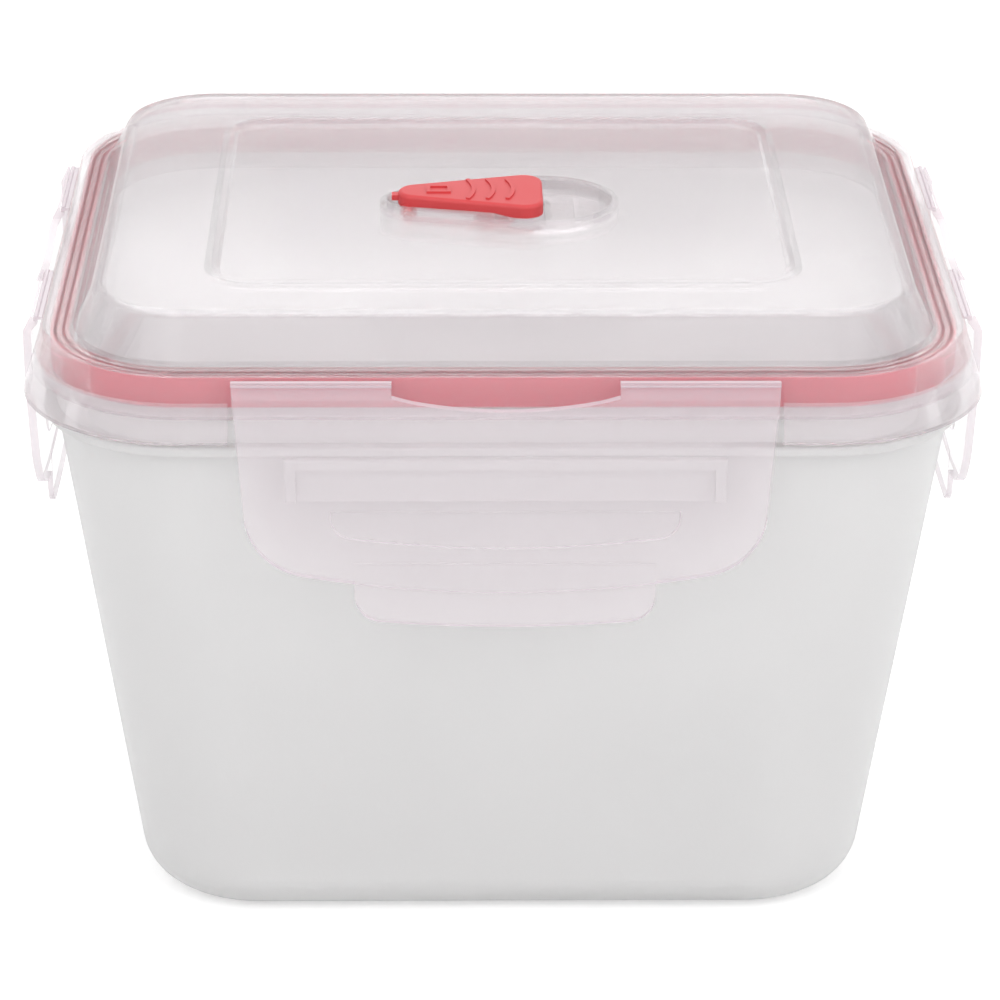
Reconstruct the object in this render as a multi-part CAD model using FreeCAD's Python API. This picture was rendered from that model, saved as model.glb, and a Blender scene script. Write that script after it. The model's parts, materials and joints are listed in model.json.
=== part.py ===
import FreeCAD, Part
import math
import os

V = FreeCAD.Vector
TOUCH = 1e-3                 # faces and edges this close count as level

# Driving dimensions, millimetres
SEAL_LENGTH = 192.0          # gasket loop, outer edge, left to right
SEAL_DEPTH = 168.0           # gasket loop, outer edge, front to rear
SEAL_CORNER = 29.0           # gasket loop, outer corner radius
GASKET_WIDTH = 3.7
GASKET_HEIGHT = 6.6
GASKET_GROOVE_WIDTH = 1.1    # groove along the top of the gasket
GASKET_GROOVE_DEPTH = 0.9
GASKET_EDGE_RADIUS = 0.6
CHANNEL_CLEARANCE = 0.3      # gasket to the walls of its channel

BODY_HEIGHT = 128.5          # floor the canister stands on to the top of the rim lip
BASE_INSET = 15.4            # how far each wall leans in from the rim to the base
BASE_CORNER = 27.0
BASE_FILLET = 10.5
WALL_THICKNESS = 2.0
FLOOR_THICKNESS = 2.4
FOOT_RING_WIDTH = 6.0
FOOT_RING_CORNER = 10.0      # inner corner radius of the foot ring
FOOT_HEIGHT = 1.2
LIP_THICKNESS = 2.0
FLANGE_TOP_DROP = 8.4        # rim lip top to the top of the flange
FLANGE_THICKNESS = 2.4
FLANGE_INSET = 0.4           # flange edge behind the channel wall's outer face
EDGE_RADIUS = 0.8            # moulded edges of rim, flange and lugs

CHANNEL_WALL = 2.0           # outer wall of the gasket's channel
CHANNEL_DROP = 8.6           # channel roof to the lower edge of that wall
SKIRT_THICKNESS = 1.5        # flared skirt round each corner, between the flaps
SKIRT_DROP = 12.7            # channel roof to the lower edge of the skirt
SKIRT_FLARE = 3.9            # how far the skirt leans out on its way down
SKIRT_GAP = 0.7              # skirt's end to the flap's edge
ROOF_THICKNESS = 1.6
PLUG_THICKNESS = 1.6         # inner wall of the channel
PLUG_DROP = 10.0
RIM_EDGE_RADIUS = 1.4
DOME_RISE = 10.7             # channel roof to the lid's plateau
DOME_LEAN = 5.6              # how far the dome's wall leans in
DOME_EDGE_RADIUS = 3.0
LID_THICKNESS = 1.6
PANEL_LENGTH = 124.6
PANEL_DEPTH = 109.0
PANEL_CORNER = 9.0
PANEL_SINK = 1.0             # panel below the plateau
PANEL_SLOPE = 1.8            # width of the panel's sloped edge

HINGE_REACH = 1.4            # channel wall's face to the flap hinge axis
HINGE_DROP = 0.2             # channel roof down to the flap hinge axis
HINGE_BEAD_RADIUS = 0.6
HINGE_WEB_THICKNESS = 0.5
KNUCKLE_CLEARANCE = 0.15
KNUCKLE_WALL = 0.55
KNUCKLE_START_DEG = -100.0   # knuckle sector, 0 points outward and 90 up
KNUCKLE_END_DEG = 20.0
FLAP_THICKNESS = 1.8
FLAP_DROP = 46.4             # channel roof to the lowest point of the flap's plate
FLAP_BEND_DROP = 17.0        # channel roof to where the plate starts to lean in
FLAP_TAPER = 2.1             # each side edge leans in by this much
FLAP_CORNER = 15.0
FLAP_BOTTOM_RADIUS = 237.0
TAB_DROP = 54.5              # channel roof to the lowest point of the finger tab
TAB_THICKNESS = 1.2
TAB_CORNER = 6.0
TAB_BOTTOM_RADIUS = 300.0
TAB_ROOT_OVERLAP = 6.0       # how far the tab runs up behind the plate
WINDOW_DEPTH = 5.2           # hinge window, channel roof to the bottom of its arc
WINDOW_SIDE = 2.4            # hinge window, channel roof to the ends of its arc
PAD_TOP_DROP = 28.4          # latch pad on the flap's inner face
PAD_HEIGHT = 8.6
PAD_THICKNESS = 1.2
PAD_CORNER = 5.0
PAD_EDGE_RADIUS = 0.7
LUG_TOP_DROP = 17.1          # channel roof to the top of the latch lug
LUG_HEIGHT = 10.0
LUG_REACH = 3.4              # lug's face outward from the gasket's loop
LUG_FRAME = 2.4              # ledge and side walls round the lug's sunk face
LUG_SINK = 1.6               # how deep that face lies behind the frame
LATCH_CLEARANCE = 0.3        # latch pad to the lug's face

FRONT_SPANS = {"flap": 113.0, "lug": 92.0, "pad": 73.0, "window": 47.0, "tab": 63.0}
SIDE_SPANS = {"flap": 99.0, "lug": 80.0, "pad": 62.0, "window": 41.0, "tab": 55.0}

LEVER_END_X = 9.4            # vent lever: flat wide end
LEVER_WIDTH = 21.8
LEVER_CORNER = 4.2           # corners of the wide end
LEVER_NARROW_X = -18.5       # centre and radius of the narrow end
LEVER_NARROW_RADIUS = 4.4
LEVER_THICKNESS = 3.0
LEVER_STAND = 1.9            # lever's top above the panel
LEVER_EDGE_RADIUS = 0.9
NIB_LENGTH = 1.4
NIB_WIDTH = 2.4
NIB_THICKNESS = 1.2
PIVOT_X = -20.6
PIVOT_DROP = 2.2             # panel top to the lever's pivot axis
PIVOT_BARREL_RADIUS = 1.9
TRUNNION_RADIUS = 1.1
TRUNNION_CLEARANCE = 0.08
TRUNNION_GRIP = 1.3          # how far each trunnion reaches into the well's wall
RIDGE_HEIGHT = 0.4
RIDGE_WIDTH = 0.9
RIDGE_RADIUS = 16.0
RIDGE_SPAN_DEG = 24.0
RIDGE_COUNT = 3
RIDGE_PITCH = 4.4
RIDGE_FIRST_X = -6.0
MARK_LENGTH = 5.4            # raised frame near the lever's narrow end
MARK_WIDTH = 4.6
MARK_X = -13.8
MARK_LINE = 0.8
WELL_CLEARANCE = 0.6         # lever's edge to the well's wall
WELL_NARROW_X = -19.4        # the well runs on past the lever's narrow end, which dips as it opens
WELL_NARROW_RADIUS = 6.1
WELL_DEPTH = 6.0
WELL_WALL = 1.5
FINGER_X = 9.8               # finger recess beside the lever
FINGER_RADIUS = 15.2
FINGER_DEPTH = 3.4
FINGER_RIB_X = 16.4          # low rib across the recess
FINGER_RIB_WIDTH = 1.1
FINGER_RIB_HEIGHT = 1.0
VENT_X = -1.5
VENT_HOLE_RADIUS = 2.6
PLUG_HEAD_RADIUS = 4.5
PLUG_TIP_RADIUS = 2.2
PLUG_TIP_LENGTH = 1.2
PLUG_SEAT_GAP = 0.3

# Heights above the surface that the canister stands on
roof_z = BODY_HEIGHT + GASKET_HEIGHT
rim_top_z = roof_z + ROOF_THICKNESS
dome_z = roof_z + DOME_RISE
panel_z = dome_z - PANEL_SINK
flange_top_z = BODY_HEIGHT - FLANGE_TOP_DROP
flange_bottom_z = flange_top_z - FLANGE_THICKNESS
hinge_z = roof_z - HINGE_DROP
well_floor_z = panel_z - WELL_DEPTH
finger_floor_z = panel_z - FINGER_DEPTH
pivot_z = panel_z - PIVOT_DROP
lever_top_z = panel_z + LEVER_STAND
lever_bottom_z = lever_top_z - LEVER_THICKNESS

# Distances outward from the gasket's outer loop
wall_inner = CHANNEL_CLEARANCE
wall_outer = wall_inner + CHANNEL_WALL
channel_inner = -GASKET_WIDTH - CHANNEL_CLEARANCE
plug_inner = channel_inner - PLUG_THICKNESS
lip_outer = -(GASKET_WIDTH - LIP_THICKNESS) / 2
lip_inner = lip_outer - LIP_THICKNESS
pad_inner = LUG_REACH + LATCH_CLEARANCE
hinge_out = wall_outer + HINGE_REACH
flap_inner = pad_inner + PAD_THICKNESS
flap_outer = flap_inner + FLAP_THICKNESS
flap_low = pad_inner         # inner face at the lower edge, where the plate has leaned in


def rounded_wire(half_x, half_y, radius, z):
    """Closed rounded rectangle, centred on the origin, at height z."""
    ix, iy = half_x - radius, half_y - radius
    c = radius * math.sqrt(0.5)
    edges = []
    for sx, sy in ((1, 1), (-1, 1), (-1, -1), (1, -1)):
        start = V(sx * half_x, sy * iy, z)
        end = V(sx * ix, sy * half_y, z)
        if sx * sy < 0:
            start, end = end, start
        middle = V(sx * (ix + c), sy * (iy + c), z)
        edges.append(Part.Arc(start, middle, end).toShape())
    corners = []
    for here, after in zip(edges, edges[1:] + edges[:1]):
        corners.append(here)
        corners.append(Part.LineSegment(here.lastVertex(True).Point, after.firstVertex(True).Point).toShape())
    return Part.Wire(corners)


def loop_sizes(outward):
    """Half sizes and corner radius of the rim loop moved outward."""
    return SEAL_LENGTH / 2 + outward, SEAL_DEPTH / 2 + outward, SEAL_CORNER + outward


def block(sizes, low, high):
    return Part.Face(rounded_wire(*sizes, low)).extrude(V(0, 0, high - low))


def ring(outer, inner, low, high):
    """Upright band round the rim between two outward distances."""
    return block(loop_sizes(outer), low, high).cut(block(loop_sizes(inner), low, high))


def frustum(low_sizes, low, high_sizes, high):
    wires = [rounded_wire(*low_sizes, low), rounded_wire(*high_sizes, high)]
    return Part.makeLoft(wires, True, True)


def level_edges(shape, z):
    """Edges that lie flat at height z."""
    return [e for e in shape.Edges if abs(e.BoundBox.ZMin - z) < TOUCH and abs(e.BoundBox.ZMax - z) < TOUCH]


def cylinder(radius, low, high, x=0.0, y=0.0):
    return Part.makeCylinder(radius, high - low, V(x, y, low))


def box_between(low, high):
    return Part.makeBox(high[0] - low[0], high[1] - low[1], high[2] - low[2], V(*low))


def fused(shapes):
    return shapes[0].multiFuse(shapes[1:]).removeSplitter()


def body_sizes(z, thickness=0.0):
    """Half sizes and corner radius of the leaning wall at height z, moved in by a thickness."""
    rim = loop_sizes(lip_outer)
    share = z / flange_bottom_z
    half_x = rim[0] - BASE_INSET * (1 - share)
    half_y = rim[1] - BASE_INSET * (1 - share)
    corner = BASE_CORNER + (rim[2] - BASE_CORNER) * share
    return half_x - thickness, half_y - thickness, corner - thickness


def latch_lug(half, span):
    """Latch lug on the wall that faces -Y: a ledge and two side walls round a sunk face."""
    top = roof_z - LUG_TOP_DROP
    face = -half - LUG_REACH
    lug = box_between((-span / 2, face, top - LUG_HEIGHT), (span / 2, -half + BASE_INSET, top))
    face_edges = [e for e in lug.Edges if e.BoundBox.YMax < face + TOUCH]
    sunk = box_between((-span / 2 + LUG_FRAME, face, top - LUG_HEIGHT),
                       (span / 2 - LUG_FRAME, face + LUG_SINK, top - LUG_FRAME))
    return lug.makeFillet(EDGE_RADIUS, face_edges).cut(sunk)


def make_body():
    outer = frustum(body_sizes(0), 0, body_sizes(flange_bottom_z), flange_bottom_z)
    outer = outer.makeFillet(BASE_FILLET, level_edges(outer, 0))
    lip = block(loop_sizes(lip_outer), flange_bottom_z, BODY_HEIGHT)
    flange = block(loop_sizes(wall_outer - FLANGE_INSET), flange_bottom_z, flange_top_z)
    flange_edges = level_edges(flange, flange_top_z) + level_edges(flange, flange_bottom_z)
    flange = flange.makeFillet(EDGE_RADIUS, flange_edges)
    lugs = [turned(latch_lug(half, spans["lug"]), angle) for _, angle, half, spans in SIDES]
    solid = fused([outer, lip, flange] + lugs)

    floor_z = FOOT_HEIGHT + FLOOR_THICKNESS
    hollow = frustum(body_sizes(floor_z, WALL_THICKNESS), floor_z,
                     body_sizes(flange_bottom_z, LIP_THICKNESS), flange_bottom_z)
    hollow = hollow.makeFillet(BASE_FILLET - WALL_THICKNESS, level_edges(hollow, floor_z))
    mouth = block(loop_sizes(lip_inner), flange_bottom_z, BODY_HEIGHT)
    recess_x, recess_y, _ = body_sizes(0, BASE_FILLET + FOOT_RING_WIDTH)
    recess = block((recess_x, recess_y, FOOT_RING_CORNER), 0, FOOT_HEIGHT)
    return solid.cut(hollow.fuse(mouth)).cut(recess)


def make_gasket():
    band = ring(0, -GASKET_WIDTH, BODY_HEIGHT, roof_z)
    band = band.makeFillet(GASKET_EDGE_RADIUS, level_edges(band, roof_z))
    middle = -GASKET_WIDTH / 2
    half = GASKET_GROOVE_WIDTH / 2
    return band.cut(ring(middle + half, middle - half, roof_z - GASKET_GROOVE_DEPTH, roof_z))


def paddle(narrow_x, narrow_radius, extra, low, high):
    """Upright solid on the lever's outline: a round narrow end, straight sides and a flat wide end."""
    corner = LEVER_CORNER + extra
    corner_x = LEVER_END_X - LEVER_CORNER
    corner_y = LEVER_WIDTH / 2 - LEVER_CORNER
    away = math.hypot(corner_x - narrow_x, corner_y)
    lean = math.atan2(corner_y, corner_x - narrow_x) + math.acos((narrow_radius - corner) / away)
    out = V(math.cos(lean), math.sin(lean), 0)
    between = V(math.cos(lean / 2), math.sin(lean / 2), 0)
    narrow = V(narrow_x, 0, low) + out * narrow_radius
    wide = V(corner_x, corner_y, low) + out * corner
    turn = V(corner_x, corner_y, low) + between * corner
    end = V(corner_x + corner, corner_y, low)

    def mirror(point):
        return V(point.x, -point.y, point.z)

    outline = [
        Part.LineSegment(narrow, wide),
        Part.Arc(wide, turn, end),
        Part.LineSegment(end, mirror(end)),
        Part.Arc(mirror(end), mirror(turn), mirror(wide)),
        Part.LineSegment(mirror(wide), mirror(narrow)),
        Part.Arc(mirror(narrow), V(narrow_x - narrow_radius, 0, low), narrow),
    ]
    face = Part.Face(Part.Wire([piece.toShape() for piece in outline]))
    return face.extrude(V(0, 0, high - low))


def vent_seat(extra, low, high):
    """Space round the lever, grown by a wall."""
    return paddle(WELL_NARROW_X, WELL_NARROW_RADIUS + extra, WELL_CLEARANCE + extra, low, high)


def trunnion_bar(radius, clearance=0.0):
    wall = math.sqrt(WELL_NARROW_RADIUS ** 2 - (PIVOT_X - WELL_NARROW_X) ** 2)
    half = wall + TRUNNION_GRIP + clearance
    return Part.makeCylinder(radius + clearance, 2 * half, V(PIVOT_X, -half, pivot_z), V(0, 1, 0))


def dome(inset, base_z, top_z, edge_radius):
    """Solid of the lid's raised middle, leaning in from the channel's inner wall."""
    low, high = loop_sizes(channel_inner - inset), loop_sizes(channel_inner - DOME_LEAN - inset)
    solid = frustum(low, base_z, high, top_z)
    return solid.makeFillet(edge_radius, level_edges(solid, top_z))


def panel(inset, low, high):
    """The sunk panel in the middle of the plateau, with its sloped edge."""
    sizes = PANEL_LENGTH / 2, PANEL_DEPTH / 2, PANEL_CORNER
    top = [size + inset for size in sizes]
    base = [size - PANEL_SLOPE + inset for size in sizes]
    return frustum(base, low, top, high)


def corner_skirt():
    """Flared skirt outside the channel's wall, open where the flaps hang."""
    low_z, high_z = roof_z - SKIRT_DROP, roof_z
    outer = frustum(loop_sizes(wall_outer + SKIRT_FLARE), low_z, loop_sizes(wall_outer), high_z)
    inner = frustum(loop_sizes(wall_outer + SKIRT_FLARE - SKIRT_THICKNESS), low_z,
                    loop_sizes(wall_outer - SKIRT_THICKNESS), high_z)
    skirt = outer.cut(inner)
    for _, angle, half, spans in SIDES:
        reach = spans["flap"] / 2 + SKIRT_GAP
        outermost = -half - wall_outer - SKIRT_FLARE
        gap = box_between((-reach, outermost, low_z), (reach, -half + SEAL_CORNER, high_z))
        skirt = skirt.cut(turned(gap, angle))
    return skirt


def vent_well(shell):
    """Sinks the lever's seat and the finger recess into the lid, each with its own floor and wall."""
    walls = [
        vent_seat(WELL_WALL, well_floor_z - LID_THICKNESS, panel_z),
        cylinder(FINGER_RADIUS + WELL_WALL, finger_floor_z - LID_THICKNESS, panel_z, FINGER_X),
    ]
    finger = cylinder(FINGER_RADIUS, finger_floor_z, panel_z, FINGER_X)
    rib = box_between((FINGER_RIB_X, -FINGER_RADIUS, finger_floor_z),
                      (FINGER_RIB_X + FINGER_RIB_WIDTH, FINGER_RADIUS, finger_floor_z + FINGER_RIB_HEIGHT))
    hollows = [
        vent_seat(0, well_floor_z, panel_z),
        finger.cut(rib),
        cylinder(VENT_HOLE_RADIUS, well_floor_z - LID_THICKNESS, well_floor_z, VENT_X),
        trunnion_bar(TRUNNION_RADIUS, TRUNNION_CLEARANCE),
    ]
    return fused([shell] + walls).cut(fused(hollows))


def make_lid():
    rim = block(loop_sizes(wall_outer), roof_z - PLUG_DROP, rim_top_z)
    rim = rim.makeFillet(RIM_EDGE_RADIUS, level_edges(rim, rim_top_z))
    outer = fused([rim, dome(0, roof_z, dome_z, DOME_EDGE_RADIUS)]).cut(panel(0, panel_z, dome_z))

    channel = ring(wall_inner, channel_inner, roof_z - PLUG_DROP, roof_z)
    below_wall = ring(wall_outer, wall_inner, roof_z - PLUG_DROP, roof_z - CHANNEL_DROP)
    mouth = block(loop_sizes(plug_inner), roof_z - PLUG_DROP, roof_z)
    inner_dome = dome(PLUG_THICKNESS, roof_z, dome_z - LID_THICKNESS, DOME_EDGE_RADIUS - LID_THICKNESS)
    inner_dome = inner_dome.cut(panel(LID_THICKNESS, panel_z - LID_THICKNESS, dome_z - LID_THICKNESS))
    shell = outer.cut(fused([channel, below_wall, mouth, inner_dome]))
    return vent_well(fused([shell, corner_skirt()]))


def lever_ridges():
    """Three curved grip ridges and a small raised frame on the lever's top."""
    sunk = lever_top_z - RIDGE_HEIGHT
    top = lever_top_z + RIDGE_HEIGHT
    ridges = []
    for index in range(RIDGE_COUNT):
        centre = RIDGE_FIRST_X + index * RIDGE_PITCH - RIDGE_RADIUS
        half_angle = RIDGE_SPAN_DEG
        sector = [Part.makeCylinder(radius, top - sunk, V(centre, 0, sunk), V(0, 0, 1), 2 * half_angle)
                  for radius in (RIDGE_RADIUS + RIDGE_WIDTH / 2, RIDGE_RADIUS - RIDGE_WIDTH / 2)]
        ridge = sector[0].cut(sector[1])
        ridge.rotate(V(centre, 0, 0), V(0, 0, 1), -half_angle)
        ridges.append(ridge)
    outside, inside = [
        box_between((MARK_X - MARK_LENGTH / 2 + line, -MARK_WIDTH / 2 + line, sunk),
                    (MARK_X + MARK_LENGTH / 2 - line, MARK_WIDTH / 2 - line, top))
        for line in (0, MARK_LINE)]
    return ridges + [outside.cut(inside)]


def make_vent_lever():
    blade = paddle(LEVER_NARROW_X, LEVER_NARROW_RADIUS, 0, lever_bottom_z, lever_top_z)
    blade = blade.makeFillet(LEVER_EDGE_RADIUS, level_edges(blade, lever_top_z))
    tip = LEVER_NARROW_X - LEVER_NARROW_RADIUS
    nib_z = lever_bottom_z + (LEVER_THICKNESS - NIB_THICKNESS) / 2
    nib = box_between((tip - NIB_LENGTH, -NIB_WIDTH / 2, nib_z),
                      (tip + NIB_LENGTH, NIB_WIDTH / 2, nib_z + NIB_THICKNESS))
    half = math.sqrt(LEVER_NARROW_RADIUS ** 2 - (PIVOT_X - LEVER_NARROW_X) ** 2)
    barrel = Part.makeCylinder(PIVOT_BARREL_RADIUS, 2 * half, V(PIVOT_X, -half, pivot_z), V(0, 1, 0))
    return fused([blade, nib, barrel, trunnion_bar(TRUNNION_RADIUS)] + lever_ridges())


def make_vent_plug():
    shoulder = well_floor_z + PLUG_SEAT_GAP
    head = cylinder(PLUG_HEAD_RADIUS, shoulder, lever_bottom_z, VENT_X)
    tip = cylinder(PLUG_TIP_RADIUS, well_floor_z - PLUG_TIP_LENGTH, shoulder, VENT_X)
    return fused([head, tip])


def knuckle_point(radius, angle_deg):
    angle = math.radians(angle_deg)
    return hinge_out + radius * math.cos(angle), hinge_z + radius * math.sin(angle)


def flap_section(half):
    """Section of a flap across its hinge: a knuckle that wraps the hinge bead, then the plate."""
    inner_radius = HINGE_BEAD_RADIUS + KNUCKLE_CLEARANCE
    outer_radius = inner_radius + KNUCKLE_WALL
    shoulder = FLAP_THICKNESS + outer_radius

    def at(point):
        return V(0, -half - point[0], point[1])

    start_in = at(knuckle_point(inner_radius, KNUCKLE_START_DEG))
    middle_in = at(knuckle_point(inner_radius, (KNUCKLE_START_DEG + KNUCKLE_END_DEG) / 2))
    end_in = at(knuckle_point(inner_radius, KNUCKLE_END_DEG))
    low_z = roof_z - FLAP_DROP
    corners = [
        end_in,
        at(knuckle_point(outer_radius, KNUCKLE_END_DEG)),
        at((flap_outer, hinge_z - shoulder)),
        at((flap_outer, roof_z - FLAP_BEND_DROP)),
        at((flap_low + FLAP_THICKNESS, low_z)),
        at((flap_low, low_z)),
        at((flap_inner, roof_z - FLAP_BEND_DROP)),
        at((flap_inner, hinge_z - shoulder)),
        at(knuckle_point(outer_radius, KNUCKLE_START_DEG)),
        start_in,
    ]
    edges = [Part.Arc(start_in, middle_in, end_in).toShape()]
    edges += [Part.LineSegment(a, b).toShape() for a, b in zip(corners, corners[1:])]
    return Part.Face(Part.Wire(edges))


def apron(half_top, half_low, top, bottom, corner, bottom_radius):
    """Flat outline in XZ with straight sides, round corners and a gently curved lower edge."""
    big = V(0, 0, bottom + bottom_radius)
    rise = math.sqrt((bottom_radius - corner) ** 2 - (half_low - corner) ** 2)
    small = V(half_low - corner, 0, big.z - rise)
    toward = (small - big).normalize()
    joint = big + toward * bottom_radius
    side = V(half_low, 0, small.z)
    bisector = (toward + V(1, 0, 0)).normalize()
    turn = small + bisector * corner

    def mirror(point):
        return V(-point.x, point.y, point.z)

    edges = [
        Part.LineSegment(V(half_top, 0, top), side),
        Part.Arc(side, turn, joint),
        Part.Arc(joint, V(0, 0, bottom), mirror(joint)),
        Part.Arc(mirror(joint), mirror(turn), mirror(side)),
        Part.LineSegment(mirror(side), V(-half_top, 0, top)),
        Part.LineSegment(V(-half_top, 0, top), V(half_top, 0, top)),
    ]
    return Part.Face(Part.Wire([edge.toShape() for edge in edges]))


def hinge_window(span, half):
    """Notch in the middle of the hinge, straight on top and curved below."""
    top = rim_top_z
    side = roof_z - WINDOW_SIDE
    left, right = V(-span / 2, 0, side), V(span / 2, 0, side)
    edges = [
        Part.LineSegment(V(-span / 2, 0, top), left),
        Part.Arc(left, V(0, 0, roof_z - WINDOW_DEPTH), right),
        Part.LineSegment(right, V(span / 2, 0, top)),
        Part.LineSegment(V(span / 2, 0, top), V(-span / 2, 0, top)),
    ]
    face = Part.Face(Part.Wire([edge.toShape() for edge in edges]))
    face.translate(V(0, -half - flap_outer, 0))
    return face.extrude(V(0, flap_outer, 0))


def make_flap(half, spans):
    """Snap flap on the side that faces -Y, closed."""
    width = spans["flap"]
    plate = flap_section(half)
    plate.translate(V(-width / 2, 0, 0))
    plate = plate.extrude(V(width, 0, 0))
    low_z = roof_z - FLAP_DROP
    outline = apron(width / 2, width / 2 - FLAP_TAPER, rim_top_z, low_z, FLAP_CORNER, FLAP_BOTTOM_RADIUS)
    outline.translate(V(0, -half - flap_outer, 0))
    plate = plate.common(outline.extrude(V(0, flap_outer, 0)))
    plate = plate.cut(hinge_window(spans["window"], half))

    tab_half = spans["tab"] / 2
    tab_top = low_z + TAB_ROOT_OVERLAP
    tab = apron(tab_half, tab_half, tab_top, roof_z - TAB_DROP, TAB_CORNER, TAB_BOTTOM_RADIUS)
    tab.translate(V(0, -half - flap_low - TAB_THICKNESS, 0))
    tab = tab.extrude(V(0, TAB_THICKNESS, 0))

    pad_half = spans["pad"] / 2
    pad_top = roof_z - PAD_TOP_DROP
    pad = apron(pad_half, pad_half, pad_top, pad_top - PAD_HEIGHT, PAD_CORNER, FLAP_BOTTOM_RADIUS)
    pad.translate(V(0, -half - flap_inner, 0))
    pad = pad.extrude(V(0, PAD_THICKNESS, 0))
    pad_edges = [e for e in pad.Edges if e.BoundBox.YMin > -half - pad_inner - TOUCH]
    pad = pad.makeFillet(PAD_EDGE_RADIUS, pad_edges)
    return fused([plate, tab, pad])


def make_hinge(half, spans):
    """The two hinge strips of a flap: a thin web from the rim to a round bead on the axis."""
    length = (spans["flap"] - spans["window"]) / 2
    strips = []
    for start in (-spans["flap"] / 2, spans["window"] / 2):
        bead = Part.makeCylinder(HINGE_BEAD_RADIUS, length, V(start, -half - hinge_out, hinge_z), V(1, 0, 0))
        web = box_between((start, -half - hinge_out, hinge_z - HINGE_WEB_THICKNESS / 2),
                          (start + length, -half - wall_outer, hinge_z + HINGE_WEB_THICKNESS / 2))
        strips.append(fused([bead, web]))
    return Part.makeCompound(strips)


def turned(shape, angle):
    shape.rotate(V(0, 0, 0), V(0, 0, 1), angle)
    return shape


def rim_sides():
    """Name, turn about Z from the front, half size and spans of each side of the rim."""
    names = ("front", "right", "rear", "left")
    sizes = ((SEAL_DEPTH / 2, FRONT_SPANS), (SEAL_LENGTH / 2, SIDE_SPANS)) * 2
    return [(name, index * 360 / len(names), half, spans)
            for index, (name, (half, spans)) in enumerate(zip(names, sizes))]


SIDES = rim_sides()


def main():
    pieces = {
        "container_body": make_body(),
        "lid": make_lid(),
        "gasket": make_gasket(),
        "vent_lever": make_vent_lever(),
        "vent_plug": make_vent_plug(),
    }
    for name, angle, half, spans in SIDES:
        pieces[name + "_flap"] = turned(make_flap(half, spans), angle)
        pieces[name + "_hinge"] = turned(make_hinge(half, spans), angle)

    os.makedirs("parts", exist_ok=True)
    for name, shape in pieces.items():
        print(name, "solids", len(shape.Solids), "valid", shape.isValid(), "volume", round(shape.Volume, 1))
        shape.exportStep(os.path.join("parts", name + ".step"))


main()
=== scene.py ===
import json
import math

import bpy
from mathutils import Matrix, Vector

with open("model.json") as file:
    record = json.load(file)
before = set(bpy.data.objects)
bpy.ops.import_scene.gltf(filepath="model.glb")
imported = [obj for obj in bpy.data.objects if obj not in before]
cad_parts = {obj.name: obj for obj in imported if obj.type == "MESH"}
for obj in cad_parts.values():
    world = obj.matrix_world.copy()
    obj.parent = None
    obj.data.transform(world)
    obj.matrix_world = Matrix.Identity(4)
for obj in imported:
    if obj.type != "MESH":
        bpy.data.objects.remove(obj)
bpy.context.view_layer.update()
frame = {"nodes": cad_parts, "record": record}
scene = bpy.context.scene

# Camera, in metres and degrees, at the photograph's viewing angle
CAMERA_PLACE = Vector((-0.0132, -0.873, 0.449))
CAMERA_PITCH = 23.4
CAMERA_YAW = -0.88
CAMERA_ROLL = 0.27
CAMERA_LENS = 148.5
CAMERA_CLIP = 0.01
SENSOR_WIDTH = 36.0

# Colours, linear
TUB_COLOUR = (0.93, 0.925, 0.925)
CLEAR_COLOUR = (0.9, 0.85, 0.875)
FLAP_COLOUR = (0.8, 0.71, 0.76)
SILICONE_COLOUR = (0.68, 0.06, 0.1)
VENT_COLOUR = (0.63, 0.055, 0.06)
FLOOR_COLOUR = (0.8, 0.8, 0.8)
WHITE = (1, 1, 1, 1)

# Roughness, from the most to the least polished patches
TUB_ROUGHNESS = (0.3, 0.38)
LID_ROUGHNESS = (0.06, 0.11)
FLAP_ROUGHNESS = (0.08, 0.16)
SILICONE_ROUGHNESS = (0.38, 0.5)
VENT_ROUGHNESS = (0.48, 0.58)
FLOOR_ROUGHNESS = 0.9
FLOOR_SPECULAR = 0.1

# How tint and polish drift over a piece, and the fine grain of its surface
PATCH_SCALE = 30.0
NOISE_RANGE = (0.3, 0.7)     # where most of the noise lies
DRIFT = 0.02
CLEAR_DRIFT = 0.01
GRAIN = 0.00001
GRAIN_SCALE = 900.0
GRAIN_DETAIL = 2.0
TUB_GRAIN = 0.00002
TUB_GRAIN_SCALE = 1400.0

# How light passes through
PLASTIC_IOR = 1.49
SILICONE_IOR = 1.41
LID_IOR = 1.3                # low, so that thin edges stay light instead of going black
TUB_TRANSMISSION = 0.56
LID_TRANSMISSION = 0.78
CLEAR_BOUNCES = 48           # a ray passes many clear walls before it comes out

# How much of each clear surface shows, where the rest passes straight through as in a thin wall
LID_SHARE = 0.6
FLAP_HAZE = 0.2
# Edge faces show more of the pale colour: haze plus a painted highlight on the edges
EDGE_HAZE_WITH_PAINTED_HIGHLIGHT = 0.65
FACE_ALONG = 0.9             # a normal's share of an axis on a face that looks along it
FACE_ACROSS = 0.4            # and on a face that counts as an edge

# Surroundings and lamps, in metres and watts
WORLD_LIGHT = 0.86
FLOOR_SIZE = 14.0
FLOOR_GLOW = 0.36            # enough for white, and low enough for clear pieces to show in front of it
LAMP_SIZE = 0.9
LAMP_TARGET = (0, 0, 0.08)
LAMPS = (
    ("key", (-0.6, -1.0, 1.0), 5.5),
    ("fill", (0.9, -0.7, 0.8), 5.0),
    ("back", (0.1, 1.1, 1.0), 3.0),
)


def new_material(name):
    """New material, its node tree and its Principled shader."""
    material = bpy.data.materials.new(name)
    material.use_nodes = True
    tree = material.node_tree
    return material, tree, tree.nodes["Principled BSDF"]


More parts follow.
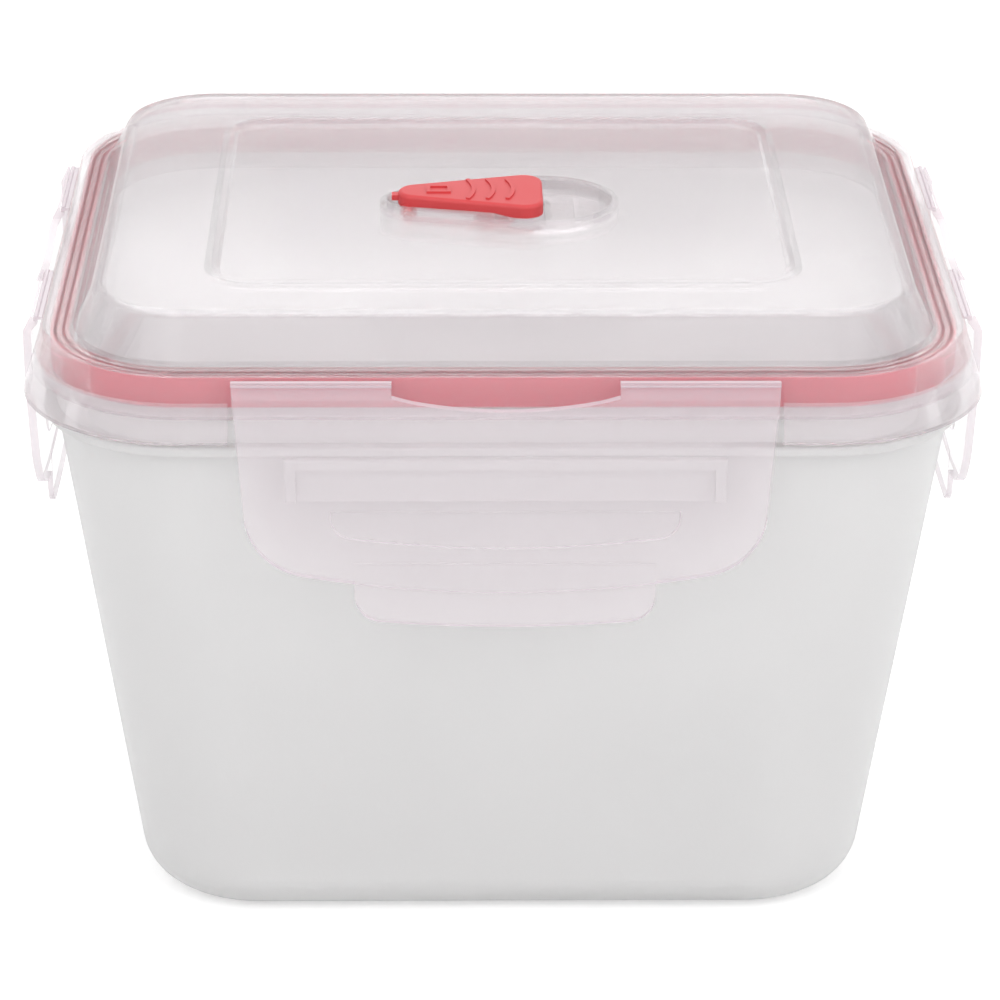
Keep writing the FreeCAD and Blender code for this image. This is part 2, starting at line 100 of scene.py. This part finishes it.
def noise(tree, scale, detail=4.0, roughness=0.55):
    """Noise in the object's own space, so it stays with the piece."""
    place = tree.nodes.new("ShaderNodeTexCoord")
    texture = tree.nodes.new("ShaderNodeTexNoise")
    texture.inputs["Scale"].default_value = scale
    texture.inputs["Detail"].default_value = detail
    texture.inputs["Roughness"].default_value = roughness
    tree.links.new(place.outputs["Object"], texture.inputs["Vector"])
    return texture.outputs["Fac"]


def spread(tree, value, low, high):
    """Noise value spread over a range."""
    node = tree.nodes.new("ShaderNodeMapRange")
    node.inputs["From Min"].default_value = NOISE_RANGE[0]
    node.inputs["From Max"].default_value = NOISE_RANGE[1]
    node.inputs["To Min"].default_value = low
    node.inputs["To Max"].default_value = high
    tree.links.new(value, node.inputs["Value"])
    return node.outputs["Result"]


def tinted(tree, value, colour, change):
    """Colour that drifts a little between two tints."""
    node = tree.nodes.new("ShaderNodeMix")
    node.data_type = "RGBA"
    node.inputs["A"].default_value = (*[channel * (1 - change) for channel in colour], 1)
    node.inputs["B"].default_value = (*[min(1, channel * (1 + change)) for channel in colour], 1)
    tree.links.new(value, node.inputs["Factor"])
    return node.outputs["Result"]


def bump(tree, shader, value, distance):
    """Raises the shader's surface by a value, up to a distance in metres."""
    node = tree.nodes.new("ShaderNodeBump")
    node.inputs["Distance"].default_value = distance
    node.inputs["Strength"].default_value = 1.0
    tree.links.new(value, node.inputs["Height"])
    tree.links.new(node.outputs["Normal"], shader.inputs["Normal"])


def plastic(name, colour, roughness, ior, transmission=0.0, drift=DRIFT,
            grain=GRAIN, grain_scale=GRAIN_SCALE):
    """Moulded plastic: slow drift of tint and polish, and a fine grain."""
    material, tree, shader = new_material(name)
    slow = noise(tree, PATCH_SCALE)
    tree.links.new(tinted(tree, slow, colour, drift), shader.inputs["Base Color"])
    tree.links.new(spread(tree, slow, *roughness), shader.inputs["Roughness"])
    bump(tree, shader, noise(tree, grain_scale, detail=GRAIN_DETAIL), grain)
    shader.inputs["IOR"].default_value = ior
    shader.inputs["Transmission Weight"].default_value = transmission
    return material


def frosted_tub():
    return plastic("frosted_tub", TUB_COLOUR, TUB_ROUGHNESS, PLASTIC_IOR, TUB_TRANSMISSION,
                   grain=TUB_GRAIN, grain_scale=TUB_GRAIN_SCALE)


def clear_lid():
    """Clear plastic that bends light a little and lets part of it straight through."""
    material = plastic("clear_lid", CLEAR_COLOUR, LID_ROUGHNESS, LID_IOR, LID_TRANSMISSION, CLEAR_DRIFT)
    material.node_tree.nodes["Principled BSDF"].inputs["Alpha"].default_value = LID_SHARE
    return material


def painted_highlight_edge_mask(tree, axis):
    """Mask for the painted edge highlight: 0 on faces that look along one of the piece's own axes, 1 on
    faces that look across it.
    """
    place = tree.nodes.new("ShaderNodeTexCoord")
    split = tree.nodes.new("ShaderNodeSeparateXYZ")
    tree.links.new(place.outputs["Normal"], split.inputs["Vector"])
    size = tree.nodes.new("ShaderNodeMath")
    size.operation = "ABSOLUTE"
    tree.links.new(split.outputs[axis], size.inputs[0])
    share = tree.nodes.new("ShaderNodeMapRange")
    share.inputs["From Min"].default_value = FACE_ALONG
    share.inputs["From Max"].default_value = FACE_ACROSS
    tree.links.new(size.outputs["Value"], share.inputs["Value"])
    return share.outputs["Result"]


def clear_flap(name, axis):
    """Thin clear plastic: a faint haze on faces that look along an axis, and a painted highlight on its
    edges, where more of the pale colour shows.
    """
    material = plastic(name, FLAP_COLOUR, FLAP_ROUGHNESS, PLASTIC_IOR, drift=CLEAR_DRIFT)
    tree = material.node_tree
    # Opacity rises from the haze on flat faces to the painted edge highlight
    alpha = tree.nodes.new("ShaderNodeMapRange")
    alpha.inputs["To Min"].default_value = FLAP_HAZE
    alpha.inputs["To Max"].default_value = EDGE_HAZE_WITH_PAINTED_HIGHLIGHT
    tree.links.new(painted_highlight_edge_mask(tree, axis), alpha.inputs["Value"])
    tree.links.new(alpha.outputs["Result"], tree.nodes["Principled BSDF"].inputs["Alpha"])
    return material


def dress(node, material):
    """Gives a CAD node its finish."""
    piece = frame["nodes"][node]
    piece.data.materials.clear()
    piece.data.materials.append(material)


def dress_canister():
    """Each node gets its slot's finish, then the flaps and their hinges get the thin one."""
    finishes = {
        "tub_plastic": frosted_tub(),
        "lid_plastic": clear_lid(),
        "gasket_silicone": plastic("red_silicone", SILICONE_COLOUR, SILICONE_ROUGHNESS, SILICONE_IOR),
        "vent_plastic": plastic("red_vent", VENT_COLOUR, VENT_ROUGHNESS, PLASTIC_IOR),
    }
    for part in frame["record"]["subparts"]:
        dress(part["node"], finishes[part["material_slot"]])
    across = clear_flap("clear_flap_front", "Y")
    along = clear_flap("clear_flap_side", "X")
    for side, finish in (("front", across), ("rear", across), ("left", along), ("right", along)):
        dress(side + "_flap", finish)
        dress(side + "_hinge", finish)


def seen_share(tree):
    """1 for rays that show the background: camera, glossy and transmission rays."""
    path = tree.nodes.new("ShaderNodeLightPath")
    total = path.outputs["Is Camera Ray"]
    for name in ("Is Glossy Ray", "Is Transmission Ray"):
        larger = tree.nodes.new("ShaderNodeMath")
        larger.operation = "MAXIMUM"
        tree.links.new(total, larger.inputs[0])
        tree.links.new(path.outputs[name], larger.inputs[1])
        total = larger.outputs["Value"]
    return total


def make_world():
    """White surroundings, dimmer as a light than as a background."""
    world = bpy.data.worlds.new("studio")
    scene.world = world
    world.use_nodes = True
    tree = world.node_tree
    background = tree.nodes["Background"]
    background.inputs["Color"].default_value = WHITE
    strength = tree.nodes.new("ShaderNodeMapRange")
    strength.inputs["To Min"].default_value = WORLD_LIGHT
    strength.inputs["To Max"].default_value = 1.0
    tree.links.new(seen_share(tree), strength.inputs["Value"])
    tree.links.new(strength.outputs["Result"], background.inputs["Strength"])


def make_floor():
    """Pale floor that shows white and keeps a soft shadow."""
    mesh = bpy.data.meshes.new("floor")
    half = FLOOR_SIZE / 2
    corners = [(-half, -half, 0), (half, -half, 0), (half, half, 0), (-half, half, 0)]
    mesh.from_pydata(corners, [], [(0, 1, 2, 3)])
    floor = bpy.data.objects.new("floor", mesh)
    scene.collection.objects.link(floor)
    material, tree, shader = new_material("pale_floor")
    shader.inputs["Base Color"].default_value = (*FLOOR_COLOUR, 1)
    shader.inputs["Roughness"].default_value = FLOOR_ROUGHNESS
    shader.inputs["Specular IOR Level"].default_value = FLOOR_SPECULAR
    shader.inputs["Emission Color"].default_value = WHITE
    shown = tree.nodes.new("ShaderNodeMath")
    shown.operation = "MULTIPLY"
    shown.inputs[1].default_value = FLOOR_GLOW
    tree.links.new(seen_share(tree), shown.inputs[0])
    tree.links.new(shown.outputs["Value"], shader.inputs["Emission Strength"])
    mesh.materials.append(material)


def softbox(name, place, power):
    """Square area lamp that faces the middle of the canister."""
    lamp = bpy.data.lights.new(name, "AREA")
    lamp.size = LAMP_SIZE
    lamp.energy = power
    holder = bpy.data.objects.new(name, lamp)
    holder.location = place
    holder.rotation_euler = (Vector(LAMP_TARGET) - Vector(place)).to_track_quat("-Z", "Y").to_euler()
    scene.collection.objects.link(holder)


def make_camera():
    """Camera turned by pitch, yaw and roll from a level look along +Y."""
    pitch, yaw, roll = (math.radians(a) for a in (CAMERA_PITCH, CAMERA_YAW, CAMERA_ROLL))
    level = Vector((-math.sin(yaw), math.cos(yaw), 0))
    side = Vector((math.cos(yaw), math.sin(yaw), 0))
    up = math.sin(pitch) * level + math.cos(pitch) * Vector((0, 0, 1))
    forward = math.cos(pitch) * level - math.sin(pitch) * Vector((0, 0, 1))
    right = math.cos(roll) * side + math.sin(roll) * up
    above = math.cos(roll) * up - math.sin(roll) * side
    data = bpy.data.cameras.new("camera")
    data.sensor_fit = "HORIZONTAL"
    data.sensor_width = SENSOR_WIDTH
    data.lens = CAMERA_LENS
    data.clip_start = CAMERA_CLIP
    camera = bpy.data.objects.new("camera", data)
    turn = Matrix((right, above, -forward)).transposed()
    camera.matrix_world = Matrix.Translation(CAMERA_PLACE) @ turn.to_4x4()
    scene.collection.objects.link(camera)
    scene.camera = camera


dress_canister()
make_world()
make_floor()
for lamp_name, lamp_place, lamp_power in LAMPS:
    softbox(lamp_name, lamp_place, lamp_power)
make_camera()
scene.view_settings.view_transform = "Standard"
scene.cycles.transparent_max_bounces = CLEAR_BOUNCES
scene.cycles.max_bounces = CLEAR_BOUNCES
scene.cycles.transmission_bounces = CLEAR_BOUNCES
